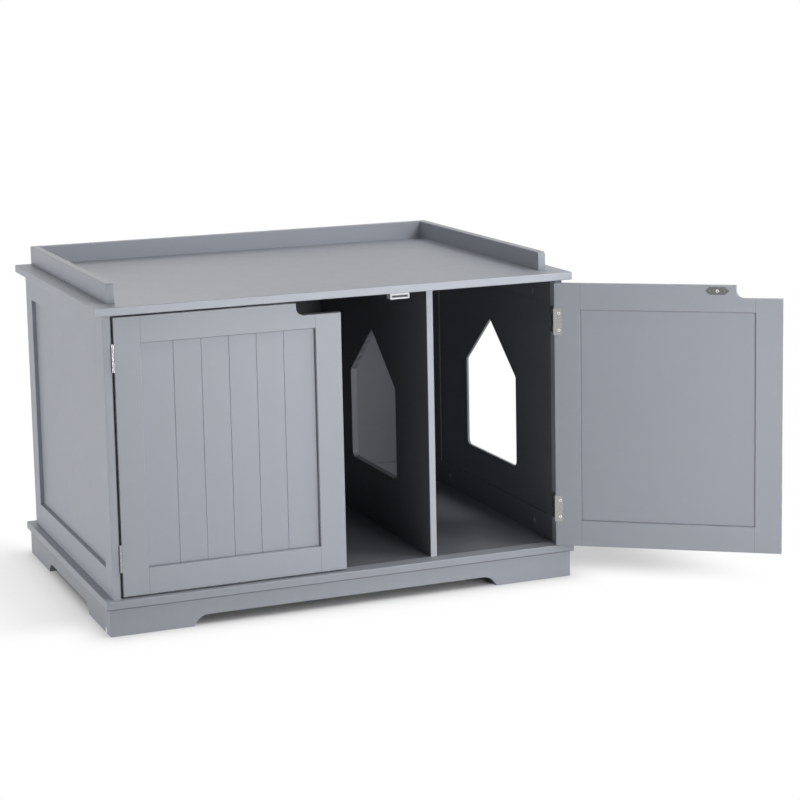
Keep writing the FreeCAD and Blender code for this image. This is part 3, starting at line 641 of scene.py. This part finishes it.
@shader_group(("Position", VECTOR, None), ("Shade", COLOUR, (0.8, 0.8, 0.8, 1.0)),
              ("Roughness", FLOAT, 0.4), ("Dirt", FLOAT, 0.08))
def moulded_skin(graph, given):
    """Moulded plastic or pressed ferrite: a fine grain and faint flow marks."""
    position = given["Position"]
    flow = graph.ramp(graph.noise(position, *PLASTIC_FLOW), 0.45, 0.8)
    grain = graph.noise(position, *PLASTIC_GRAIN)
    level = graph.minus(1.0, graph.times(flow, given["Dirt"]))
    return (graph.toned(given["Shade"], level),
            graph.plus(given["Roughness"], graph.sway(grain, 0.2)), grain)


# ---- Materials ----

FADE = 0.5 * MM  # how far a tone fades to each side of its box
LINE_CORE = 0.3  # the full dark of a line over its width
LINE_TONE = 0.3  # the dark of a line over the paint's colour
CHIP_SPAN = (1.5, 1.3)  # where a chip starts and where it is bare, over its radius
FINE_BUMP, WOOD_BUMP = 0.02 * MM, 0.1 * MM


def opaque(rgb):
    """A colour with full alpha."""
    return (*rgb, 1.0)


def tone_of(shade, tone):
    """A colour made lighter or darker."""
    return [min(1.0, tone * value) for value in shade]


def new_material(name):
    """(material, graph, its Principled BSDF) with nothing else in it."""
    material = bpy.data.materials.new(name)
    material.use_nodes = True
    graph = Graph(material.node_tree)
    shader = next(n for n in material.node_tree.nodes if n.type == "BSDF_PRINCIPLED")
    return material, graph, shader


def finish_surface(graph, shader, effect, depth, base=None):
    """Joins an effect's outputs to a shader, with its height through a bump."""
    bump = graph.add("ShaderNodeBump", {"Height": effect.outputs["Height"], "Strength": 1.0,
                                        "Distance": depth})
    for label, value in (("Base Color", base or effect.outputs["Color"]),
                         ("Roughness", effect.outputs["Roughness"]),
                         ("Normal", bump.outputs["Normal"])):
        graph.put(shader.inputs[label], value)


def box_mask(graph, position, low, high):
    """1 where a point lies inside a box, fading over a millimetre at its faces."""
    from_middle = graph.split(graph.between(position, (low + high) / 2, "SUBTRACT", "Vector"))
    return graph.patch(*((graph.size(away), half + FADE, half - FADE)
                         for away, half in zip(from_middle.values(), (high - low) / 2)))


def dark_lines(graph, position, places, wide):
    """1 along planes given as (axis, place), fading to each side of them."""
    parts = graph.split(position)
    return graph.fold("MAXIMUM", *(
        graph.ramp(graph.size(graph.minus(parts[axis], place)), wide, LINE_CORE * wide)
        for axis, place in places))


def inside_painted_shade(paint):
    """(low, high, tone) of the space inside the cabinet, a little enlarged, where the paint is
    darkened as painted shade.
    """
    low = Vector((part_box("left_side_panel")[1].x - 1.5 * MM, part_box("divider")[0].y + MM,
                  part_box("base_board")[1].z - MM))
    high = Vector((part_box("right_side_panel")[0].x + 1.5 * MM,
                   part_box("back_panel")[0].y + 1.5 * MM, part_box("top_board")[0].z + MM))
    return low, high, paint.inside_painted_shade


def front_edge_painted_light(node, tone):
    """(low, high, tone) of a board's front edge, where painted highlight or painted shade is
    laid.
    """
    low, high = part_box(node)
    return (Vector((low.x - MM, low.y - MM, low.z - MM)),
            Vector((high.x + MM, low.y + 0.7 * MM, high.z + MM)), tone)


def door_back_painted_shade(paint):
    """(low, high, tone) of the rear half of the doors, when shut, where the paint is darkened
    as painted shade.
    """
    low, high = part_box("left_door_hinge_stile")
    return (Vector((-1.0, (low.y + high.y) / 2, 0.0)), Vector((1.0, high.y + 5 * MM, 1.0)),
            paint.door_back_painted_shade)


def groove_painted_highlight(paint):
    """(low, high, tone) of the depth of the doors' grooves, when shut, where the paint is
    lightened as painted highlight.
    """
    low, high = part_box("left_door_panel")
    return (Vector((-1.0, low.y + 0.7 * MM, 0.0)), Vector((1.0, high.y - 1.2 * MM, 1.0)),
            paint.groove_painted_highlight)


def gap_painted_shades(paint, side):
    """Each (low, high, tone) of the painted shade on the arrises round a shut door: three on
    the door, and last the one beside it. side is 1 for the left door and -1 for the right."""
    wide = paint.gap_shade_width
    low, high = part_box("left_door_hinge_stile")
    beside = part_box("left_side_front_stile")[1].x
    found = []
    for first, last, bottom, top in (
            (low.x - MM, low.x + wide, low.z - MM, high.z + MM),
            (-1.0, 1.0, high.z - wide, high.z + MM),
            (-1.0, 1.0, low.z - MM, low.z + wide),
            (beside - wide, beside + MM, low.z - MM, high.z + MM)):
        first, last = sorted((side * first, side * last))
        found.append((Vector((first, low.y - MM, bottom)),
                      Vector((last, low.y + 3 * MM, top)), paint.gap_painted_shade))
    return found


def paint_material(name, shade, swing=None, joints=(), shaded_rims=(), chip=None, painted_light_boxes=()):
    """Satin paint. swing is the (axis point, angle) that an open piece was turned by, joints
    and rims are the (axis, place) of thin and of wide dark lines, the wide ones painted shade
    in corners, chip is the place of a chip down to the primer, and the boxes are (low corner,
    high corner, tone) of painted light and shade, in which the paint is darker or lighter."""
    paint = bpy.context.scene.cabinet_paint
    material, graph, shader = new_material(name)
    coordinates = graph.add("ShaderNodeTexCoord").outputs
    pivot, turn = swing or (Vector((0, 0, 0)), 0.0)
    back = (0.0, 0.0, -turn)
    closed = pivot - Matrix.Rotation(-turn, 3, "Z") @ pivot
    position = graph.add("ShaderNodeMapping",
                         {"Vector": coordinates["Object"], "Rotation": back,
                          "Location": closed}, vector_type="POINT").outputs["Vector"]
    way = graph.add("ShaderNodeMapping", {"Vector": coordinates["Normal"], "Rotation": back},
                    vector_type="VECTOR").outputs["Vector"]
    film = graph.add("ShaderNodeGroup",
                     {"Position": position, "Facing": way, "Shade": opaque(shade),
                      "Worn": opaque(paint.worn_shade), "Roughness": paint.roughness,
                      "Mottle": paint.mottle, "Wear": paint.wear}, node_tree=paint_film())
    # Painted light and shade: each box lightens or darkens the paint there.
    if painted_light_boxes:
        graph.put(film.inputs["Tone"], graph.times(*(
            graph.plus(1.0, graph.times(box_mask(graph, position, low, high), tone - 1.0))
            for low, high, tone in painted_light_boxes)))
    shader.inputs["Specular IOR Level"].default_value = paint.gloss
    base = film.outputs["Color"]
    # The thin joint hairlines are real dark joints; the wide rims are painted shade in
    # corners.
    for places, wide, strength in ((joints, paint.joint_width, paint.joint),
                                   (shaded_rims, paint.crevice_painted_shade_width, paint.crevice_painted_shade)):
        if places:
            line = dark_lines(graph, position, places, wide)
            base = graph.blend(graph.times(line, strength), base,
                               opaque(tone_of(shade, LINE_TONE)))
    if chip:
        away = graph.between(coordinates["Object"], chip, "DISTANCE", "Value")
        ragged = graph.times(graph.noise(coordinates["Object"], *CHIP_EDGE),
                             1.2 * paint.chip_radius)
        bare = graph.ramp(graph.plus(away, ragged),
                          *(share * paint.chip_radius for share in CHIP_SPAN))
        base = graph.blend(bare, base, opaque(paint.primer))
    finish_surface(graph, shader, film, paint.peel, base)
    return material


def effect_material(name, effect, depth, **values):
    """A material that one shader group finishes, with its values by name."""
    material, graph, shader = new_material(name)
    inputs = {"Position": graph.place()}
    for label, value in values.items():
        inputs[label] = value if isinstance(value, float) else opaque(value)
    if effect is brushed_metal:
        inputs["Soil"] = graph.add("ShaderNodeAttribute", attribute_name="soil_and_shade").outputs["Fac"]
        shader.inputs["Metallic"].default_value = 1.0
    finish_surface(graph, shader, graph.add("ShaderNodeGroup", inputs, node_tree=effect()),
                   depth)
    return material


def dress(node, material):
    """Gives a CAD node its material."""
    if node not in NODES:
        raise RuntimeError(f"the frame has no node named {node}")
    for holder in NODES[node].material_slots:
        holder.material = material


def material_named(name):
    """A material that an earlier operator made."""
    material = bpy.data.materials.get(name)
    if material is None:
        raise RuntimeError(f"there is no material named {name} yet")
    return material


# ---- Which nodes get what ----

# Which setting holds the painted highlight or painted shade on each board's front edge, and on
# whole boards.
FRONT_EDGE_PAINTED_LIGHT = {"top_board": "edge_tone", "base_board": "base_painted_shade", "divider": "edge_tone"}
BOARD_PAINTED_LIGHT = {"plinth": "base_painted_shade", "gallery_back": "back_rail_painted_light"}
BOARDS = ("top_board", "base_board", "gallery_back_rail", "gallery_left_rail",
          "gallery_right_rail", "plinth_front", "plinth_back", "plinth_right", "divider",
          "plinth_left")
WALLS = {"left_side": ("Y", "front_stile", "back_stile"),
         "right_side": ("Y", "front_stile", "back_stile"),
         "back": ("X", "left_stile", "right_stile")}
SIDE_SIGNS = {"left_door": 1.0, "right_door": -1.0, "left_side": 1.0, "right_side": -1.0}
SCREWS = ("frame_hinge_screws", "left_door_hinge_screws", "right_door_hinge_screws",
          "catch_screws", "left_door_strike_screw", "right_door_strike_screw")
METALS = (
    # name, setting that holds its colour, roughness, grain, tarnish, nodes
    ("nickel_plate", "nickel", 0.27, 0.25, 0.3,
     ("frame_hinge_leaves", "left_door_hinge_leaves", "right_door_hinge_leaves",
      "hinge_pins")),
    ("bright_nickel", "bright", 0.2, 0.1, 0.1, ("gallery_screws",) + SCREWS),
    ("dull_steel", "strike", 0.42, 0.25, 0.5,
     ("left_door_strike_plate", "right_door_strike_plate", "catch_pole_plates")),
    ("cast_zinc", "zinc", 0.5, 0.2, 0.5, ("cam_locks", "cam_bolts")),
)
SKINS = (
    # name, setting that holds its colour, roughness, dirt, nodes
    ("white_moulding", "plastic", 0.38, 0.08, ("catch_housings",)),
    ("pressed_ferrite", "ferrite", 0.62, 0.3, ("catch_magnets",)),
)
WOODEN = ("plinth_corner_blocks", "divider_dowels")


def nodes_of(name):
    """The nodes of a side, the back or a door, in order."""
    return sorted(node for node in NODES if node.startswith(name + "_"))


def facing_edges(frame_name, axis, pair):
    """The facing edges of a frame's two stiles or two rails, along an axis."""
    index = "XYZ".index(axis)
    low, high = sorted((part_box(frame_name + "_" + name) for name in pair),
                       key=lambda box: box[0][index])
    return ((axis, low[1][index]), (axis, high[0][index]))


def door_swing(door):
    """(point on the hinge line, turn) that a door was opened by, or None where it is shut."""
    joint = next(joint for joint in frame["joints"] if joint["child"] == door)
    low, high = joint["range_deg"]
    if min(abs(low), abs(high)) < 1e-3:
        return None
    opened = -low if abs(low) > abs(high) else -high
    spot = Vector(joint["pos_m"])
    turn = math.radians(opened) * (1 if joint["axis"][2] > 0 else -1)
    return Vector((spot.x, spot.y, 0.0)), turn


def paint_boards(paint, inside):
    """Paints the top, the gallery, the divider, the base and the plinth."""
    # The seam under the base: a dark joint hairline, and a wide rim of painted shadow under
    # the base's edge.
    seam = (("Z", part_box("base_board")[0].z),)
    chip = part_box("plinth_left")[0] + Vector(paint.chip_place)
    for node in BOARDS:
        lines = seam if node.startswith(("plinth", "base")) else ()
        painted_light_boxes = (inside, front_edge_painted_light(node, getattr(paint, FRONT_EDGE_PAINTED_LIGHT[node]))) \
            if node in FRONT_EDGE_PAINTED_LIGHT else ()
        tone = BOARD_PAINTED_LIGHT.get(node.rsplit("_", 1)[0])
        dress(node, paint_material(
            node + "_paint", tone_of(paint.shade, getattr(paint, tone) if tone else 1.0),
            joints=lines, shaded_rims=lines, chip=chip if node == "plinth_left" else None,
            painted_light_boxes=painted_light_boxes))


def paint_frame(paint, name, joints, levels, painted_light_boxes, panel_painted_light_boxes, arrises, swing=None):
    """Paints the stiles, rails and panel of a side, the back or a door. arrises says which
    of its nodes has which arrises darkened as painted shade."""
    for node in nodes_of(name):
        if node.endswith("panel"):
            # A panel gets painted shade as wide dark rims along its corners with the stiles
            # and rails.
            dress(node, paint_material(node + "_paint", paint.panel_shade, swing,
                                       shaded_rims=joints + levels, painted_light_boxes=panel_painted_light_boxes))
        elif node.endswith(("stile", "rail")):
            dress(node, paint_material(node + "_paint", paint.shade, swing,
                                       joints=joints if node.endswith("rail") else (),
                                       painted_light_boxes=painted_light_boxes + arrises(node)))


class CABINET_OT_paint(bpy.types.Operator):
    """Paint the boards, rails, stiles and panels"""

    bl_idname = "cabinet.paint"
    bl_label = "Paint the boards"

    def execute(self, context):
        paint = context.scene.cabinet_paint
        # The box of painted shade inside the cabinet, for the boards and frames.
        inside = inside_painted_shade(paint)
        paint_boards(paint, inside)
        for name, (axis, *stiles) in WALLS.items():
            # The painted shade on a side's front stile beside its door's gap.
            beside = gap_painted_shades(paint, SIDE_SIGNS[name])[3:] if name in SIDE_SIGNS else []
            paint_frame(paint, name, facing_edges(name, axis, stiles),
                        facing_edges(name, "Z", ("bottom_rail", "top_rail")),
                        [inside], [inside],
                        lambda node: beside if node.endswith("front_stile") else [])
        joints = facing_edges("left_door", "X", ("hinge_stile", "free_stile"))
        levels = facing_edges("left_door", "Z", ("bottom_rail", "top_rail"))
        # The box of painted shade on the doors' backs.
        back = door_back_painted_shade(paint)
        for name in ("left_door", "right_door"):
            side = SIDE_SIGNS[name]
            lines = tuple((axis, side * place) for axis, place in joints)
            # The painted shade on the door's arrises by its gap.
            arrises = gap_painted_shades(paint, side)[:3]
            paint_frame(paint, name, lines, levels, [back], [back, groove_painted_highlight(paint)],
                        lambda node: arrises, door_swing(name))
        return {"FINISHED"}


class CABINET_OT_fittings(bpy.types.Operator):
    """Finish the hinges, catches, plates, blocks and dowels"""

    bl_idname = "cabinet.fittings"
    bl_label = "Finish the fittings"

    def execute(self, context):
        fittings = context.scene.cabinet_fittings
        for name, shade, roughness, grain, tarnish, nodes in METALS:
            metal = effect_material(name, brushed_metal, FINE_BUMP,
                                    Shade=getattr(fittings, shade), Roughness=roughness,
                                    Grain=grain, Tarnish=tarnish)
            for node in nodes:
                dress(node, metal)
        for name, shade, roughness, dirt, nodes in SKINS:
            skin = effect_material(name, moulded_skin, FINE_BUMP,
                                   Shade=getattr(fittings, shade), Roughness=roughness,
                                   Dirt=dirt)
            for node in nodes:
                dress(node, skin)
        wood = effect_material("bare_softwood", wood_rings, WOOD_BUMP,
                               Light=fittings.wood_light, Dark=fittings.wood_dark)
        for node in WOODEN:
            dress(node, wood)
        return {"FINISHED"}


# How far the first screw's and cam's cross is turned, and how much more each next one is.
FIRST_TURN, NEXT_TURN = math.radians(17.0), math.radians(53.0)
FIRST_CAM, NEXT_CAM = math.radians(20.0), math.radians(35.0)


class CABINET_OT_screws(bpy.types.Operator):
    """Turn the cross-headed screws of the hinges, catches and strike plates"""

    bl_idname = "cabinet.screws"
    bl_label = "Turn the screws"

    def execute(self, context):
        bright = material_named("bright_nickel")
        sizes = context.scene.cabinet_screw
        count = 0
        for node in SCREWS:
            seats = [screw_seat(solid) for solid in solids_of(node)]
            crown = sizes.crown if "door_hinge" in node else sizes.flush_crown
            model = screw_model(max(seat[2] for seat in seats), crown,
                                max(seat[3] for seat in seats))
            places = []
            for top, direction, _, _ in seats:
                places.append((top, direction, FIRST_TURN + NEXT_TURN * count))
                count += 1
            piece = set_in_place(model, places, node.replace("screw", "cross_screw"))
            stand_for(piece, node, bright)
        return {"FINISHED"}


class CABINET_OT_cams(bpy.types.Operator):
    """Turn the cams in the side rails"""

    bl_idname = "cabinet.cams"
    bl_label = "Turn the cams"

    def execute(self, context):
        zinc = material_named("cast_zinc")
        places = []
        for index, solid in enumerate(solids_of("cam_locks")):
            low, high = solid.min(0), solid.max(0)
            side = 1.0 if low[0] > 0 else -1.0
            inner = low[0] if side > 0 else high[0]
            spot = Vector((inner, (low[1] + high[1]) / 2, (low[2] + high[2]) / 2))
            places.append((spot, Vector((-side, 0, 0)), FIRST_CAM + NEXT_CAM * index))
        depth = high[0] - low[0]
        model = cam_model((high[2] - low[2]) / 2, depth)
        piece = set_in_place(model, places, "cross_cams")
        stand_for(piece, "cam_locks", zinc)
        return {"FINISHED"}


# ---- Studio ----

AIM = Vector((0.0, -0.4, 0.3))  # what the lamps look at
SHADE_INSET = 20 * MM  # the floor is darkest from this far inside the plinth
SHADE_CURVE = 1.3
FLOOR_SIZE = 24.0
LAMPS = (
    # name, degrees right of the front, degrees up, distance, width, power
    ("key_lamp", 20.0, 20.0, 2.8, 0.8, 11.0),
    ("right_lamp", 45.0, 20.0, 2.8, 1.8, 10.0),
    ("low_lamp", 12.0, 3.0, 2.0, 0.5, 12.6),
    ("left_card", -90.0, 3.0, 2.8, 0.8, 26.0),
    ("upper_lamp", 60.0, 50.0, 2.8, 1.0, 22.0),
    ("rear_lamp", 180.0, 45.0, 2.8, 1.4, 15.0),
)


def area_lamp(name, around, above, away, wide, power):
    """A soft square lamp that looks at the cabinet and isn't seen itself."""
    spot = AIM + away * Vector((math.sin(around) * math.cos(above),
                                -math.cos(around) * math.cos(above), math.sin(above)))
    clear_selection()
    bpy.ops.object.light_add(type="AREA", location=spot,
                             rotation=(AIM - spot).to_track_quat("-Z", "Y").to_euler())
    lamp = bpy.context.object
    lamp.name = name
    lamp.visible_camera = False
    lamp.data.shape = "SQUARE"
    lamp.data.size = wide
    lamp.data.energy = power


def floor_share(graph, studio):
    """How white the floor is seen: dark under the base, shaded beside it, white elsewhere."""
    place = graph.place()
    spot = graph.split(place)
    across, along = spot["X"], spot["Y"]
    right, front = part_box("plinth_right")[1].x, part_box("plinth_front")[0].y
    out_x = graph.math("MAXIMUM", 0.0, graph.minus(graph.size(across), right - SHADE_INSET))
    out_y = graph.math("MAXIMUM", 0.0, graph.minus(
        graph.size(graph.minus(along, front / 2)), -front / 2 - SHADE_INSET))
    away = graph.math("SQRT", graph.plus(graph.times(out_x, out_x),
                                         graph.times(out_y, out_y)))
    fade = graph.math("POWER", graph.math("DIVIDE", away, studio.contact), SHADE_CURVE)
    share = graph.minus(1.0, graph.math("EXPONENT", graph.times(fade, -1.0)))
    left_side = graph.patch((across, -right - 0.25, -right - 0.08),
                            (across, -right + 0.01, -right - 0.04),
                            (along, front + 0.02, front + 0.16), (along, 0.2, -0.1))
    hinge, turn = door_swing("right_door")
    behind = Matrix.Rotation(turn, 3, "Z") @ Vector((0, -1, 0))
    past = graph.minus(graph.between(place, behind, "DOT_PRODUCT", "Value"),
                       behind.dot(hinge))
    right_side = graph.patch((across, right - 0.01, right + 0.04),
                             (across, right + 0.36, right + 0.14), (past, 0.0, 0.14),
                             (along, front + 0.4, front + 0.15))
    for shaded, strength in ((left_side, studio.left_shade), (right_side, studio.right_shade)):
        share = graph.times(share, graph.minus(1.0, graph.times(shaded, strength)))
    return share


def floor_material(studio):
    """Pale floor that the camera sees nearly white, with the cabinet's shadow kept."""
    material, graph, shader = new_material("studio_floor")
    shader.inputs["Base Color"].default_value = opaque(studio.floor_shade)
    shader.inputs["Roughness"].default_value = 0.9
    shader.inputs["Specular IOR Level"].default_value = 0.1
    white = graph.add("ShaderNodeEmission", {"Color": (1, 1, 1, 1), "Strength": 1.0})
    share = graph.times(graph.seen_itself(), floor_share(graph, studio))
    mix = graph.add("ShaderNodeMixShader",
                    {0: share, 1: shader.outputs[0], 2: white.outputs[0]})
    out = next(n for n in graph.tree.nodes if n.type == "OUTPUT_MATERIAL")
    graph.put(out.inputs["Surface"], mix.outputs[0])
    return material


def plain_sky(strength):
    """Even light from all round, seen as plain white by the camera and by gloss."""
    world = bpy.data.worlds.new("studio_sky")
    bpy.context.scene.world = world
    world.use_nodes = True
    graph = Graph(world.node_tree)
    sky = next(n for n in world.node_tree.nodes if n.type == "BACKGROUND")
    sky.inputs["Color"].default_value = (1, 1, 1, 1)
    level = graph.add("ShaderNodeMix", {0: graph.seen_itself(), 2: strength, 3: 1.0},
                      data_type="FLOAT")
    graph.put(sky.inputs["Strength"], level.outputs[0])


class CABINET_OT_studio(bpy.types.Operator):
    """Set up the floor, the lamps and the sky"""

    bl_idname = "cabinet.studio"
    bl_label = "Set up the studio"

    def execute(self, context):
        studio = context.scene.cabinet_studio
        clear_selection()
        bpy.ops.mesh.primitive_plane_add(size=FLOOR_SIZE, location=(0, 0, 0))
        floor = context.object
        floor.name = "studio_floor"
        floor.data.materials.append(floor_material(studio))
        plain_sky(studio.sky)
        for name, around, above, away, wide, power in LAMPS:
            area_lamp(name, math.radians(around), math.radians(above), away, wide, power)
        context.scene.view_settings.view_transform = "Standard"
        return {"FINISHED"}


class CABINET_OT_camera(bpy.types.Operator):
    """Stand the camera where the photograph was taken from"""

    bl_idname = "cabinet.camera"
    bl_label = "Stand the camera"

    def execute(self, context):
        studio = context.scene.cabinet_studio
        turn = (Matrix.Rotation(studio.heading, 3, "Z")
                @ Matrix.Rotation(math.pi / 2 - studio.tilt, 3, "X")
                @ Matrix.Rotation(studio.roll, 3, "Z"))
        clear_selection()
        bpy.ops.object.camera_add(location=studio.stand, rotation=turn.to_euler())
        camera = context.object
        camera.name = "photo_camera"
        camera.data.sensor_width = 36.0
        camera.data.lens = studio.lens
        camera.data.shift_y = studio.shift
        context.scene.camera = camera
        return {"FINISHED"}


class CABINET_PT_finish(bpy.types.Panel):
    """The cabinet's finish, in the sidebar"""

    bl_label = "Cabinet finish"
    bl_idname = "CABINET_PT_finish"
    bl_space_type = "VIEW_3D"
    bl_region_type = "UI"
    bl_category = "Cabinet"

    def draw(self, context):
        for operator, settings in STEPS:
            box = self.layout.box()
            box.operator(operator.bl_idname)
            if settings:
                holder = getattr(context.scene, settings)
                for name in holder.__annotations__:
                    box.prop(holder, name)


STEPS = (
    (CABINET_OT_paint, "cabinet_paint"),
    (CABINET_OT_fittings, "cabinet_fittings"),
    (CABINET_OT_screws, "cabinet_screw"),
    (CABINET_OT_cams, "cabinet_cam"),
    (CABINET_OT_studio, "cabinet_studio"),
    (CABINET_OT_camera, None),
)
GROUPS = (("cabinet_paint", PaintSettings), ("cabinet_fittings", FittingSettings),
          ("cabinet_screw", ScrewSettings), ("cabinet_cam", CamSettings),
          ("cabinet_studio", StudioSettings))


def register():
    """Adds the settings, the operators and the panel."""
    for name, kind in GROUPS:
        bpy.utils.register_class(kind)
        setattr(bpy.types.Scene, name, PointerProperty(type=kind))
    for operator, _ in STEPS:
        bpy.utils.register_class(operator)
    bpy.utils.register_class(CABINET_PT_finish)


def unregister():
    """Takes them away again."""
    bpy.utils.unregister_class(CABINET_PT_finish)
    for operator, _ in reversed(STEPS):
        bpy.utils.unregister_class(operator)
    for name, kind in reversed(GROUPS):
        delattr(bpy.types.Scene, name)
        bpy.utils.unregister_class(kind)


def main():
    """Finishes the cabinet."""
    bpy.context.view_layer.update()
    register()
    for operator, _ in STEPS:
        section, name = operator.bl_idname.split(".")
        getattr(getattr(bpy.ops, section), name)()


if __name__ == "__main__":
    main()
